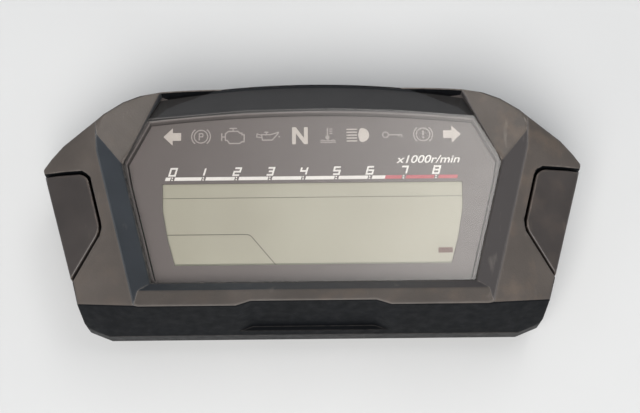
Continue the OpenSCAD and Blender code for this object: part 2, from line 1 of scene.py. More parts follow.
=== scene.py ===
"""Motorcycle instrument cluster: the visual model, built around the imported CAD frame."""

import math

import bmesh
import bpy
from mathutils import Matrix, Vector


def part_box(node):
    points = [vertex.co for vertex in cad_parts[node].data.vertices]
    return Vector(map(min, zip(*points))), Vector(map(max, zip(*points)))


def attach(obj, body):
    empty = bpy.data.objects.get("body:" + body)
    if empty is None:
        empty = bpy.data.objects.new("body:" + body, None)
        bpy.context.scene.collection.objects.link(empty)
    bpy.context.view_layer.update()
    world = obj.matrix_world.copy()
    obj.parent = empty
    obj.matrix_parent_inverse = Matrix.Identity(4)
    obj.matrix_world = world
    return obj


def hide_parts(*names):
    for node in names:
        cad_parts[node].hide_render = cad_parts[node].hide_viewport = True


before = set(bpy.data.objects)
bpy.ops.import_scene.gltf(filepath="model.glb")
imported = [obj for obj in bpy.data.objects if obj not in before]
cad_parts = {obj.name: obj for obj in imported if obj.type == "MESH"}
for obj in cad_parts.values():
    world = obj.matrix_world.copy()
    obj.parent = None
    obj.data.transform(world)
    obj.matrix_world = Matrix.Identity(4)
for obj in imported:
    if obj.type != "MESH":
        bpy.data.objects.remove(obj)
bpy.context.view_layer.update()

BOX = {node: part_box(node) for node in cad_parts}
MM = 0.001

# Camera: almost square to the dial, on the object's plane of symmetry
CAMERA_FOCUS = Vector((0, -2.75, 40)) * MM
CAMERA_DISTANCE = 480 * MM
CAMERA_TILT = math.radians(17)
CAMERA_ROLL = math.radians(-0.6)
CAMERA_LENS = 77.7
CAMERA_SHIFT = 0.0116

# Light
SKY_STRENGTH = 0.30
LAMP_PLACE = (-0.15, -0.8, 1.35)
LAMP_SIZE = 1.0
LAMP_WATTS = 27
SOFTBOX_PLACE = (0.05, 0.42, 1.15)
SOFTBOX_HALF = 0.45

# Meshes: points closer than WELD are one, and faces within FLAT_ANGLE of each other are one face.
# An edge that turns by more than SHARP_ANGLE shades sharp, unless it is rounded.
WELD = 0.002 * MM
FLAT_ANGLE = math.radians(0.6)
SHARP_ANGLE = math.radians(28)
SOFTENED_ANGLE = math.radians(40)

# Rounding of each kind of case edge, in millimetres
ROUNDED_EDGE = 0.8
LIP_EDGE = 0.6
FINE_EDGE = 0.25
TIP_EDGE = 0.15
CAP_EDGE = 0.7
POCKET_CORNER = 1.6
RIM_EDGE = 0.12

# Corners on the outside of a wing that lie closer than this become one
CLOSE_CORNERS = 0.7
OUTSIDE_X, OUTSIDE_Z = 58.0, 35.5

# Where the front case changes character, in millimetres
WING_TIP_X = 53.4
TIP_REACH = 5.0
TOP_RIM_Y, TOP_RIM_Z = 36.0, 36.9
SHELF_Y = 31.5
LOWER_WALL_Y = -39.4
INSIDE_X, INSIDE_Y, INSIDE_Z = 92.0, -38.0, 36.0
CAP_SIDE_Z = 33.0
TALL_CORNER = 6.0

# Angles in degrees between two faces: a crease under LEAST_ANGLE stays as it is
LEAST_ANGLE = 15
UPRIGHT_LEAST, UPRIGHT_MOST = 15, 70
WALL_ANGLE = 40
CAP_ANGLE = 20
REAR_ANGLE = 25

# How far up (Z) a face's normal points: 1 is level, 0 is an upright wall, below 0 is an underside
LEVEL = 0.9
LENS_FRONT = 0.7
CAP_FACE = 0.6
FACING_UP = 0.5
LIP_SLOPE = 0.45
REAR_SIDE = 0.4
WALL_SLOPE = 0.35
CAP_UNDERSIDE = -0.3
UNDERSIDE = -0.4

# The same for an edge's own direction, above which it is upright
UPRIGHT = 0.9

# How far a wall's normal points outward, below which it is an inner wall
INWARD = -0.3

# How far up the dial (Y) the shelf's normal leans
SHELF_LEAN = 0.1

ACRYLIC_IOR = 1.49

# Heights along Y, in metres, between which a pale line on the lens's crease is a painted highlight
CREASE_LOW, CREASE_HIGH = 0.029, 0.03525

# Display print
INK = 0.06
PRINT_LIFT = 0.01


# ---- Camera, floor and light ----


def make_camera():
    data = bpy.data.cameras.new("camera")
    data.lens = CAMERA_LENS
    data.shift_x = CAMERA_SHIFT
    data.clip_start = 0.01
    camera = bpy.data.objects.new("camera", data)
    bpy.context.scene.collection.objects.link(camera)
    back = Vector((0, -math.sin(CAMERA_TILT), math.cos(CAMERA_TILT)))
    place = Matrix.Translation(CAMERA_FOCUS + back * CAMERA_DISTANCE)
    turn = Matrix.Rotation(CAMERA_TILT, 4, "X") @ Matrix.Rotation(CAMERA_ROLL, 4, "Z")
    camera.matrix_world = place @ turn
    bpy.context.scene.camera = camera


def add_object(name, mesh):
    piece = bpy.data.objects.new(name, mesh)
    bpy.context.scene.collection.objects.link(piece)
    return piece


def flat_sheet(name, half_x, half_y):
    mesh = bpy.data.meshes.new(name)
    corners = [(-half_x, -half_y, 0), (half_x, -half_y, 0), (half_x, half_y, 0), (-half_x, half_y, 0)]
    mesh.from_pydata(corners, [], [(0, 1, 2, 3)])
    return add_object(name, mesh)


def make_floor():
    floor = flat_sheet("floor", 3, 3)
    floor.location.z = -0.05 * MM
    floor.data.materials.append(floor_material())


def make_lamp():
    """A square lamp high in front of the object, which shines at the middle of its foot."""
    data = bpy.data.lights.new("high_front", "AREA")
    data.shape = "SQUARE"
    data.size = LAMP_SIZE
    data.energy = LAMP_WATTS
    data.color = (1.0, 0.97, 0.93)
    light = bpy.data.objects.new("high_front", data)
    light.location = LAMP_PLACE
    light.rotation_euler = (-Vector(LAMP_PLACE)).to_track_quat("-Z", "Y").to_euler()
    bpy.context.scene.collection.objects.link(light)


def make_lights():
    world = bpy.data.worlds.new("studio")
    world.use_nodes = True
    sky = world.node_tree.nodes["Background"]
    sky.inputs["Color"].default_value = (0.86, 0.92, 1.0, 1)
    sky.inputs["Strength"].default_value = SKY_STRENGTH
    bpy.context.scene.world = world
    make_lamp()
    make_softbox()


def make_softbox():
    """A wide glowing card over the object, brighter to the right, which the lens mirrors softly."""
    softbox = flat_sheet("softbox", SOFTBOX_HALF, SOFTBOX_HALF)
    softbox.location = SOFTBOX_PLACE
    softbox.data.materials.append(softbox_material())


# ---- Materials ----


class Shader:
    """A material's node tree, with a short call for each kind of node."""

    def __init__(self, name):
        self.material = bpy.data.materials.new(name)
        self.material.use_nodes = True
        self.tree = self.material.node_tree
        self.tree.nodes.clear()
        self.place = self.node("ShaderNodeTexCoord").outputs["Object"]

    def node(self, kind, inputs=None, **settings):
        node = self.tree.nodes.new(kind)
        for key, value in settings.items():
            setattr(node, key, value)
        for key, value in (inputs or {}).items():
            if isinstance(value, bpy.types.NodeSocket):
                self.tree.links.new(value, node.inputs[key])
            else:
                node.inputs[key].default_value = value
        return node

    def noise(self, scale, detail=3.0, stretch=None):
        place = self.place
        if stretch:
            place = self.node("ShaderNodeMapping", {"Vector": place, "Scale": stretch}).outputs[0]
        wanted = {"Vector": place, "Scale": scale, "Detail": detail}
        return self.node("ShaderNodeTexNoise", wanted).outputs["Fac"]

    def cells(self, scale):
        wanted = {"Vector": self.place, "Scale": scale}
        return self.node("ShaderNodeTexVoronoi", wanted, feature="SMOOTH_F1").outputs["Distance"]

    def remap(self, value, low, high, out_low=0.0, out_high=1.0):
        wanted = {"Value": value, "From Min": low, "From Max": high,
                  "To Min": out_low, "To Max": out_high}
        return self.node("ShaderNodeMapRange", wanted).outputs["Result"]

    def maths(self, operation, a, b, c=0.0):
        return self.node("ShaderNodeMath", {0: a, 1: b, 2: c}, operation=operation).outputs[0]

    def along(self, axis):
        return self.node("ShaderNodeSeparateXYZ", {0: self.place}).outputs[axis]

    def mix(self, factor, a, b):
        return self.node("ShaderNodeMix", {0: factor, 6: a, 7: b}, data_type="RGBA").outputs[2]

    def rounded(self, radius):
        """The normal, smoothed over every edge and crease."""
        return self.node("ShaderNodeBevel", {"Radius": radius}, samples=8).outputs[0]

    def edges(self, radius, soft=0.995, sharp=0.9):
        """1 on edges that are sharper than the radius, 0 on faces."""
        normal = self.node("ShaderNodeNewGeometry").outputs["Normal"]
        compared = {0: self.rounded(radius), 1: normal}
        dot = self.node("ShaderNodeVectorMath", compared, operation="DOT_PRODUCT")
        return self.remap(dot.outputs["Value"], soft, sharp)

    def bump(self, height, depth, under=None):
        wanted = {"Height": height, "Distance": depth, "Strength": 1.0}
        if under:
            wanted["Normal"] = under
        return self.node("ShaderNodeBump", wanted).outputs["Normal"]

    def principled(self, inputs):
        shader = self.node("ShaderNodeBsdfPrincipled", inputs)
        self.show(shader.outputs[0])
        return self.material

    def show(self, surface):
        self.node("ShaderNodeOutputMaterial", {"Surface": surface})


def rgb(red, green, blue):
    return (red, green, blue, 1.0)


def shaded(colour, factor):
    return rgb(*(channel * factor for channel in colour[:3]))


def surface(name, colour, roughness, metallic=0.0, variation=0.15, blotch=90.0, grain=2200.0,
            depth=0.01, level=0.5):
    """A plain moulded, cast or rolled surface with uneven colour, uneven gloss and a fine grain."""
    s = Shader(name)
    patches = s.remap(s.noise(blotch, 5), 0.3, 0.7)
    base = s.mix(patches, shaded(colour, 1 - variation), shaded(colour, 1 + variation))
    uneven = s.remap(s.noise(blotch * 4, 4), 0.3, 0.7, roughness * 0.85, min(roughness * 1.15, 1.0))
    normal = s.bump(s.noise(grain, 2), depth * MM)
    return s.principled({"Base Color": base, "Roughness": uneven, "Metallic": metallic,
                         "Specular IOR Level": level, "Normal": normal})


def worn_plastic(name, colour, worn, roughness, grain_depth, dust=None, dust_share=0.0, wear_radius=0.9,
                 level=0.5, right=None, crease=0.5):
    """Grained black plastic that has gone grey: pale worn edges, fine scuffs and dust in patches.

    The colour turns to right along X, which is painted light: the +X side lighter, as if lit from there.
    Creases look rounded by the radius crease."""
    s = Shader(name)
    patches = s.remap(s.noise(55, 6), 0.35, 0.68)
    base = s.mix(patches, shaded(colour, 0.86), shaded(colour, 1.16))
    # right is painted light: the part at +X turns to this lighter colour, as if lit from that side
    if right:
        base = s.mix(s.remap(s.along("X"), -0.03, 0.06), base, right)
    if dust:
        # Brown patches, denser towards +X, which lighten that side
        side = s.remap(s.along("X"), -0.03, 0.09, 0.25, 1.0)
        settled = s.remap(s.noise(130, 8), 0.5, 0.78)
        base = s.mix(s.maths("MULTIPLY", s.maths("MULTIPLY", side, settled), dust_share), base, dust)
    scuffs = s.remap(s.noise(260, 5, (1.0, 0.22, 1.0)), 0.64, 0.78)
    base = s.mix(s.maths("MULTIPLY", scuffs, 0.28), base, worn)
    rubbed = s.maths("MULTIPLY", s.edges(wear_radius * MM), s.remap(s.noise(420, 5), 0.3, 0.62))
    base = s.mix(s.maths("MULTIPLY", rubbed, 0.75), base, worn)
    uneven = s.remap(s.noise(300, 4), 0.3, 0.7, roughness * 0.86, roughness * 1.12)
    pebbles = s.bump(s.cells(1500), grain_depth * MM, s.rounded(crease * MM))
    normal = s.bump(s.noise(5200, 3), grain_depth * 0.35 * MM, pebbles)
    return s.principled({"Base Color": base, "Roughness": uneven, "Specular IOR Level": level,
                         "Normal": normal})


def lens_material():
    """Clear acrylic with a faint smoke tint. Lamps pass through, and its front mirrors for both faces.
    Along its crease a pale line is a painted highlight.
    """
    s = Shader("lens_acrylic")
    haze = s.remap(s.noise(35, 5), 0.3, 0.75)
    tint = s.mix(haze, rgb(0.945, 0.94, 0.937), rgb(0.915, 0.907, 0.903))
    clear = s.node("ShaderNodeBsdfTransparent", {"Color": tint}).outputs[0]
    smear = s.remap(s.noise(60, 6, (1.0, 2.5, 1.0)), 0.4, 0.7, 0.04, 0.16)
    ripple = s.bump(s.noise(26, 2), 0.006 * MM)
    gloss = s.node("ShaderNodeBsdfGlossy", {"Roughness": smear, "Normal": ripple}).outputs[0]
    shape = s.node("ShaderNodeNewGeometry").outputs
    up = s.node("ShaderNodeSeparateXYZ", {0: shape["Normal"]}).outputs["Z"]
    front = s.maths("SUBTRACT", s.maths("GREATER_THAN", up, LENS_FRONT), shape["Backfacing"])
    one_face = s.node("ShaderNodeFresnel", {"IOR": ACRYLIC_IOR}).outputs[0]
    both_faces = s.maths("MINIMUM", s.maths("MULTIPLY", one_face, 2.0), 1.0)
    share = s.maths("MULTIPLY", both_faces, s.maths("MAXIMUM", front, 0.0))
    mirrored = s.node("ShaderNodeMixShader", {0: share, 1: clear, 2: gloss}).outputs[0]
    # A pale matte line along the crease is a painted highlight, standing in for the crease's reflection
    above = s.remap(s.along("Y"), CREASE_LOW - 1 * MM, CREASE_LOW + 1 * MM, 0.0, 0.5)
    below = s.remap(s.along("Y"), CREASE_HIGH + 0.25 * MM, CREASE_HIGH - 0.25 * MM)
    on_crease = s.maths("MULTIPLY", s.edges(0.3 * MM, 0.9995, 0.995), s.maths("MULTIPLY", above, below))
    painted_crease_highlight = s.node("ShaderNodeBsdfDiffuse", {"Color": rgb(0.5, 0.48, 0.47)}).outputs[0]
    s.show(s.node("ShaderNodeMixShader", {0: on_crease, 1: mirrored, 2: painted_crease_highlight}).outputs[0])
    return s.material


def face_film_material():
    """The printed film round the window: grey-brown with a slight metallic sheen."""
    s = Shader("face_film")
    cloud = s.remap(s.noise(18, 4), 0.3, 0.7)
    base = s.mix(cloud, rgb(0.150, 0.134, 0.131), rgb(0.176, 0.158, 0.155))
    fleck = s.remap(s.noise(2600, 2), 0.55, 0.75)
    base = s.mix(s.maths("MULTIPLY", fleck, 0.12), base, rgb(0.26, 0.24, 0.235))
    gloss = s.remap(s.noise(400, 3), 0.3, 0.7, 0.42, 0.55)
    return s.principled({"Base Color": base, "Roughness": gloss, "Specular IOR Level": 0.35,
                         "Normal": s.bump(s.noise(1800, 2), 0.004 * MM)})


def lcd_material():
    """The front of the liquid crystal panel: pale grey-green and satin."""
    s = Shader("lcd_front")
    cloud = s.remap(s.noise(14, 3), 0.3, 0.7)
    base = s.mix(cloud, rgb(0.430, 0.424, 0.343), rgb(0.470, 0.462, 0.384))
    gloss = s.remap(s.noise(500, 3), 0.3, 0.7, 0.3, 0.42)
    return s.principled({"Base Color": base, "Roughness": gloss, "Specular IOR Level": 0.4,
                         "Normal": s.bump(s.noise(2400, 2), 0.003 * MM)})


def ink(name, colour, roughness=0.45):
    return surface(name, colour, roughness, variation=0.05, blotch=240, grain=5000, depth=0.002)


def board_material():
    """Green solder mask over a faint woven glass and copper pours."""
    s = Shader("board")
    pour = s.remap(s.noise(95, 2), 0.49, 0.51)
    base = s.mix(pour, rgb(0.012, 0.085, 0.035), rgb(0.018, 0.125, 0.052))
    weave = s.node("ShaderNodeTexChecker", {"Vector": s.place, "Scale": 900.0}).outputs["Fac"]
    normal = s.bump(weave, 0.006 * MM)
    return s.principled({"Base Color": base, "Roughness": s.remap(s.noise(300), 0.3, 0.7, 0.3, 0.42),
                         "Normal": normal})


def softbox_material():
    s = Shader("softbox_glow")
    dim_side, bright_side = -0.35, 0.4
    plateau, steepness, gain, least = 0.72, 2.1, 7.6, 0.10
    across = s.maths("MINIMUM", s.remap(s.along("X"), dim_side, bright_side), plateau)
    glow = s.maths("MULTIPLY_ADD", s.maths("POWER", across, steepness), gain, least)
    s.show(s.node("ShaderNodeEmission", {"Color": rgb(1.0, 0.985, 0.96), "Strength": glow}).outputs[0])
    return s.material


def floor_material():
    s = Shader("floor_paint")
    base = s.mix(s.remap(s.noise(6, 3), 0.3, 0.7), rgb(0.60, 0.61, 0.62), rgb(0.64, 0.65, 0.66))
    grain = s.bump(s.noise(120, 3), 0.05 * MM)
    return s.principled({"Base Color": base, "Roughness": 0.8, "Normal": grain})


def make_materials():
    case_grey = rgb(0.073, 0.062, 0.055)
    worn_grey = rgb(0.30, 0.27, 0.245)
    return {
        "case": worn_plastic("case_grained", case_grey, worn_grey, 0.55, 0.035,
                             dust=rgb(0.19, 0.135, 0.095), dust_share=0.4, crease=1.3),
        # The smooth inner walls: their cool blue tint is a painted reflection of a blue surround, and the
        # lighter wall at +X is painted light
        "case_smooth_painted_light": worn_plastic("case_smooth_painted_light", rgb(0.031, 0.036, 0.043), worn_grey, 0.42, 0.006,
                                    right=rgb(0.066, 0.060, 0.060), crease=1.3),
        # Near-black, faintly blue and barely glossy: the walls' own dark plastic made darker as painted
        # shade, with a painted reflection of a blue surround
        "case_black_painted_shade": worn_plastic("case_black_painted_shade", rgb(0.0035, 0.0043, 0.0058),
                                   rgb(0.024, 0.022, 0.021), 0.62, 0.02, level=0.1),
        "case_ledge": surface("case_ledge", rgb(0.165, 0.148, 0.144), 0.6, variation=0.05,
                              depth=0.004),
        "case_shelf": surface("case_shelf", rgb(0.036, 0.036, 0.037), 0.6, variation=0.08,
                              depth=0.004, level=0.3),
        "gasket": surface("lens_gasket_foam", rgb(0.10, 0.092, 0.09), 0.9, variation=0.1, depth=0.01),
        "button": worn_plastic("button_satin", rgb(0.042, 0.036, 0.034), rgb(0.20, 0.155, 0.125), 0.4,
                               0.008, dust=rgb(0.12, 0.09, 0.07), dust_share=0.25, wear_radius=1.2),
        # Black plastic, made darker still and given a low specular level as painted shade along the case's
        # lower rim
        "rear": worn_plastic("rear_grained_painted_shade", rgb(0.014, 0.0145, 0.016), rgb(0.06, 0.056, 0.053), 0.62, 0.03,
                             dust=rgb(0.07, 0.056, 0.045), dust_share=0.3, level=0.25),
        "lens": lens_material(),
        "film": face_film_material(),
        "lcd": lcd_material(),
        "board": board_material(),
        "rubber": surface("seal_rubber", rgb(0.017, 0.017, 0.018), 0.82, variation=0.25, depth=0.02),
        "steel": surface("zinc_steel", rgb(0.52, 0.51, 0.50), 0.34, 1.0, grain=900, depth=0.006),
        "brass": surface("brass", rgb(0.62, 0.42, 0.17), 0.3, 1.0, grain=900, depth=0.006),
        "contact": surface("tinned_contact", rgb(0.66, 0.64, 0.6), 0.26, 1.0, depth=0.003),
        "connector": surface("connector_nylon", rgb(0.66, 0.64, 0.58), 0.5, variation=0.06, depth=0.008),
        "silicone": surface("connector_silicone", rgb(0.42, 0.09, 0.045), 0.6, depth=0.01),
        "chip": surface("chip_resin", rgb(0.02, 0.02, 0.022), 0.55, variation=0.2, grain=6000, depth=0.006),
        "can": surface("drawn_can", rgb(0.72, 0.72, 0.71), 0.25, 1.0, depth=0.003),
        "ferrite": surface("ferrite", rgb(0.06, 0.057, 0.055), 0.7, variation=0.3, depth=0.02),
        "switch": surface("switch_body", rgb(0.02, 0.021, 0.023), 0.5, depth=0.006),
        "plunger": surface("switch_plunger", rgb(0.62, 0.6, 0.53), 0.45, depth=0.004),
        "led": surface("led_resin", rgb(0.75, 0.72, 0.5), 0.3, variation=0.08, depth=0.003),
        "white": surface("white_plastic", rgb(0.78, 0.78, 0.75), 0.5, variation=0.03, depth=0.006),
        "opal": surface("opal_sheet", rgb(0.82, 0.82, 0.79), 0.35, variation=0.02, depth=0.003),
        "glass": surface("lcd_glass", rgb(0.36, 0.37, 0.30), 0.15, variation=0.04, depth=0.001),
        "polarizer": surface("polarizer_film", rgb(0.33, 0.34, 0.27), 0.3, variation=0.04, depth=0.002),
        "ink_white": ink("ink_white", rgb(0.86, 0.85, 0.82)),
        "ink_pale": ink("ink_pale", rgb(0.60, 0.56, 0.52)),
        "ink_faint": ink("ink_faint", rgb(0.40, 0.37, 0.355)),
        "ink_red": ink("ink_red", rgb(0.52, 0.11, 0.13)),
        "ink_dark": ink("ink_dark", rgb(0.15, 0.15, 0.12)),
        "ink_brown": ink("ink_brown", rgb(0.16, 0.085, 0.07)),
    }


# ---- Moulded case pieces, with rounded edges ----


def clean_mesh(node):
    """The node's mesh, welded, with each flat face whole and no tiny edge at a wing's corners."""
    bm = bmesh.new()
    bm.from_mesh(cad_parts[node].data)
    bmesh.ops.remove_doubles(bm, verts=bm.verts, dist=WELD)
    bmesh.ops.dissolve_limit(bm, angle_limit=FLAT_ANGLE, verts=bm.verts, edges=bm.edges)
    outer = [vert for vert in bm.verts
             if abs(vert.co.x) > OUTSIDE_X * MM and vert.co.z > OUTSIDE_Z * MM]
    if node in ("front_case", "left_button", "right_button"):
        bmesh.ops.remove_doubles(bm, verts=outer, dist=CLOSE_CORNERS * MM)
        bm.normal_update()
    return bm


def moulded(name, node, body, edge_width, face_slot, materials):
    """A copy of a CAD node whose edges are rounded, each by its own width in millimetres."""
    bm = clean_mesh(node)
    widths = {edge.index: edge_width(edge) for edge in bm.edges}
    widest = max(widths.values())
    weights = bm.edges.layers.float.new("bevel_weight_edge")
    for edge in bm.edges:
        edge[weights] = widths[edge.index] / widest
        edge.smooth = edge.calc_face_angle(0) < SHARP_ANGLE or widths[edge.index] > 0
    for face in bm.faces:
        face.smooth = True
        face.material_index = face_slot(face)
    mesh = bpy.data.meshes.new(name)
    bm.to_mesh(mesh)
    bm.free()
    for attribute in list(mesh.attributes):
        if attribute.name == "custom_normal":
            mesh.attributes.remove(attribute)
    for material in materials:
        mesh.materials.append(material)
    piece = add_object(name, mesh)
    rounding = piece.modifiers.new("rounding", "BEVEL")
    rounding.limit_method = "WEIGHT"
    rounding.width = widest * MM
    rounding.segments = 4
    rounding.use_clamp_overlap = False
    rounding.harden_normals = True
    rounding.miter_outer = "MITER_ARC"
    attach(piece, body)
    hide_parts(node)
    return piece


def edge_facts(edge):
    """The normals of both faces, the middle, and the angle in degrees, which is negative in a corner."""
    a, b = (face.normal for face in edge.link_faces)
    middle = (edge.verts[0].co + edge.verts[1].co) / 2
    angle = math.degrees(edge.calc_face_angle_signed(0))
    return a, b, middle, angle


def outward(normal, point):
    """How far a wall's normal points away from the middle of the case."""
    flat = Vector((point.x * 0.5, point.y, 0)).normalized()
    return normal.x * flat.x + normal.y * flat.y


def in_pocket(point):
    """Over or beside a side button, in plan."""
    low, high = BOX["right_button"]
    margin = 2.5 * MM
    return low.x - margin < abs(point.x) and low.y - margin < point.y < high.y + margin


def near_lens(point):
    """On or inside the rim that the lens is let into."""
    high = BOX["lens"][1]
    rim, band = 1.2 * MM, 6 * MM
    beside = abs(point.x) < high.x and point.z < high.z + rim
    above = abs(point.x) < WING_TIP_X * MM and point.y > high.y - band
    return beside or above


def inside_case(point):
    return abs(point.x) < INSIDE_X * MM and point.y > INSIDE_Y * MM and point.z < INSIDE_Z * MM


def front_case_edge(edge):
    """The rounding of an edge of the front case, and 0 for one that stays sharp."""
    a, b, middle, angle = edge_facts(edge)
    base = BOX["front_case"][0].z + 0.5 * MM
    steepest = min(a.z, b.z)
    on_front = max(a.z, b.z) > FACING_UP
    hidden = middle.z < base or steepest < UNDERSIDE or inside_case(middle)
    if abs(angle) < LEAST_ANGLE or hidden:
        return 0
    if near_lens(middle):
        return RIM_EDGE if angle > 0 and on_front else 0
    if in_pocket(middle):
        return FINE_EDGE if angle > 0 and on_front else upright_corner(edge, -angle)
    if angle < 0:
        return 0
    if steepest > LIP_SLOPE:
        return LIP_EDGE
    if not on_front:
        return ROUNDED_EDGE if angle > WALL_ANGLE else 0
    near_tip = abs(middle.x) < (WING_TIP_X + TIP_REACH) * MM and middle.y > 0
    return TIP_EDGE if near_tip else ROUNDED_EDGE


def front_case_slot(face):
    """0 grained, 1 smooth inner walls, 2 near-black painted shade, 3 the ledge round the display, 4 the
    shelf over it.
    """
    middle = face.calc_center_median()
    low, high = BOX["lens"]
    above_film = BOX["face_plate"][1].z + 0.1 * MM
    below_lens = high.z - 1.5 * MM
    inward = outward(face.normal, middle) < INWARD
    in_outline = abs(middle.x) < high.x and middle.y > low.y
    top = max(vert.co.z for vert in face.verts)
    under_lens = in_outline and above_film < top < below_lens
    at_top = abs(middle.x) < WING_TIP_X * MM and middle.y > TOP_RIM_Y * MM
    facing_up = face.normal.z > FACING_UP
    # The top rim takes the near-black painted shade
    if at_top and (middle.z > TOP_RIM_Z * MM or not facing_up):
        return 2
    if middle.z > high.z - 1 * MM and inward and face.normal.z < LEVEL:
        return 1
    if under_lens and facing_up and (face.normal.y > SHELF_LEAN or middle.y > SHELF_Y * MM):
        return 4
    if under_lens and (inward or facing_up):
        return 3
    # Steep walls and the lower wall take the near-black painted shade
    return 2 if face.normal.z < WALL_SLOPE or middle.y < LOWER_WALL_Y * MM else 0


def upright_corner(edge, angle):
    """The rounding of an upright corner of a side button or of its pocket."""
    upright = abs((edge.verts[0].co - edge.verts[1].co).normalized().z) > UPRIGHT
    tall = edge.calc_length() > TALL_CORNER * MM
    return POCKET_CORNER if upright and tall and UPRIGHT_LEAST < angle < UPRIGHT_MOST else 0


def button_edge(edge):
    """The rounding of an edge of a side button: wide round its face, and at its upright corners."""
    a, b, middle, angle = edge_facts(edge)
    on_face = max(a.z, b.z) > CAP_FACE and min(a.z, b.z) > CAP_UNDERSIDE
    round_face = on_face and middle.z > CAP_SIDE_Z * MM
    return CAP_EDGE if angle > CAP_ANGLE and round_face else upright_corner(edge, angle)


def rear_case_edge(edge):
    """The rounding of an edge of the rear case that shows from outside."""
    a, b, _, angle = edge_facts(edge)
    return LIP_EDGE if angle >= REAR_ANGLE and max(a.z, b.z) <= REAR_SIDE else 0


def one_slot(face):
    return 0


def make_moulded_pieces(mats):
    moulded("front_case_shell", "front_case", "case", front_case_edge, front_case_slot,
            [mats[name] for name in ("case", "case_smooth_painted_light", "case_black_painted_shade", "case_ledge", "case_shelf")])
    moulded("left_button_cap", "left_button", "left_key", button_edge, one_slot, [mats["button"]])
    moulded("right_button_cap", "right_button", "right_key", button_edge, one_slot, [mats["button"]])
    moulded("rear_case_shell", "rear_case", "case", rear_case_edge, one_slot, [mats["rear"]])


# ---- CAD pieces that keep their shape ----

NODE_MATERIALS = {
    "lens": "lens", "lens_gasket": "gasket", "left_stem_clip": "steel", "right_stem_clip": "steel",
    "left_stem_seal": "rubber", "right_stem_seal": "rubber", "case_gasket": "rubber",
    "case_screws": "steel", "mount_inserts": "brass", "mount_grommets": "rubber",
    "breather_plug": "rubber", "connector_housing": "connector", "connector_pins": "contact",
    "connector_seal": "silicone", "main_board": "board", "board_screws": "steel",
    "controller_chip": "chip", "memory_chip": "chip", "driver_chip": "chip", "regulator": "chip",
    "capacitors": "can", "choke": "ferrite", "crystal": "can", "chip_resistors": "chip",
    "left_switch_body": "switch", "right_switch_body": "switch", "left_switch_plunger": "plunger",
    "right_switch_plunger": "plunger", "backlight_leds": "led", "telltale_leds": "led",
    "light_box": "white", "diffuser": "opal", "lcd_rear_polarizer": "polarizer",
    "lcd_panel": "glass", "lcd_front_polarizer": "lcd", "lcd_pins": "contact", "face_plate": "film",
}

# Rounding of the nodes' own edges, in millimetres
SOFTENED = {"connector_housing": 0.3, "breather_plug": 0.3, "mount_grommets": 0.5, "light_box": 0.2,
            "lens": 0.1, "face_plate": 0.08, "case_screws": 0.12}


def finish_nodes(mats):
    """Gives every other CAD node its material, and softens the edges of some."""
    for node, material in NODE_MATERIALS.items():
        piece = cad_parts[node]
        piece.data.materials.clear()
        piece.data.materials.append(mats[material])
        if node in SOFTENED:
            soften(piece, SOFTENED[node])


def soften(piece, width):
    weld = piece.modifiers.new("weld", "WELD")
    weld.merge_threshold = WELD
    planar = piece.modifiers.new("planar", "DECIMATE")
    planar.decimate_type = "DISSOLVE"
    planar.angle_limit = FLAT_ANGLE
    rounding = piece.modifiers.new("rounding", "BEVEL")
    rounding.limit_method = "ANGLE"
    rounding.angle_limit = SOFTENED_ANGLE
    rounding.width = width * MM
    rounding.segments = 2
    rounding.harden_normals = True


# ---- Print on the display: flat shapes in millimetres, as lists of closed loops ----


def stroke(points, width, closed=False):
    """The outline of a line of even width along points, with mitred corners."""
    count = len(points)
    left, right = [], []
    for i, point in enumerate(points):
        here = Vector(point)
        before = Vector(points[i - 1]) if closed or i > 0 else None
        after = Vector(points[(i + 1) % count]) if closed or i < count - 1 else None
        into = (here - before).normalized() if before else (after - here).normalized()
        out = (after - here).normalized() if after else into
        side_in = Vector((-into.y, into.x))
        side_out = Vector((-out.y, out.x))
        mitre = (side_in + side_out).normalized()
        reach = width / 2 / max(mitre.dot(side_in), 0.35)
        left.append(here + mitre * reach)
        right.append(here - mitre * reach)
    if closed:
        return [left, right]
    return [left + right[::-1]]


def arc(centre, radius, start, end, steps=20):
    step = math.radians(end - start) / steps
    first = math.radians(start)
    return [Vector((centre[0] + radius * math.cos(first + i * step),
                    centre[1] + radius * math.sin(first + i * step))) for i in range(steps + 1)]


def ring(centre, radius, width):
    return stroke(arc(centre, radius, 0, 360, 48)[:-1], width, closed=True)


def disc(centre, radius):
    return [arc(centre, radius, 0, 360, 32)[:-1]]


def rectangle(x0, y0, x1, y1):
    return [[Vector((x0, y0)), Vector((x1, y0)), Vector((x1, y1)), Vector((x0, y1))]]


def moved(shapes, x, y, scale=1.0, slant=0.0, flip=1):
    """The shapes leaned over by slant, scaled, mirrored if flip is -1, and put at x, y."""
    return [[[Vector((x + flip * scale * (p[0] + slant * p[1]), y + scale * p[1])) for p in loop]
             for loop in shape] for shape in shapes]


def arrow_symbol():
    return [[[(-3.15, 0), (0.15, 3.25), (0.15, 1.45), (3.15, 1.45), (3.15, -1.45), (0.15, -1.45),
              (0.15, -3.25)]]]


def bracketed_ring():
    line = 0.42
    return [ring((0, 0), 2.4, line), stroke(arc((0, 0), 3.35, 128, 232), line),
            stroke(arc((0, 0), 3.35, -52, 52), line)]


def parking_symbol():
    letter = [(-0.62, -1.35), (-0.62, 1.15), (0.55, 1.15), (0.75, 0.55), (0.55, -0.05), (-0.4, -0.05)]
    return bracketed_ring() + [stroke(letter, 0.42)]


def brake_symbol():
    return bracketed_ring() + [rectangle(-0.28, -0.35, 0.28, 1.45), disc((0, -1.05), 0.36)]


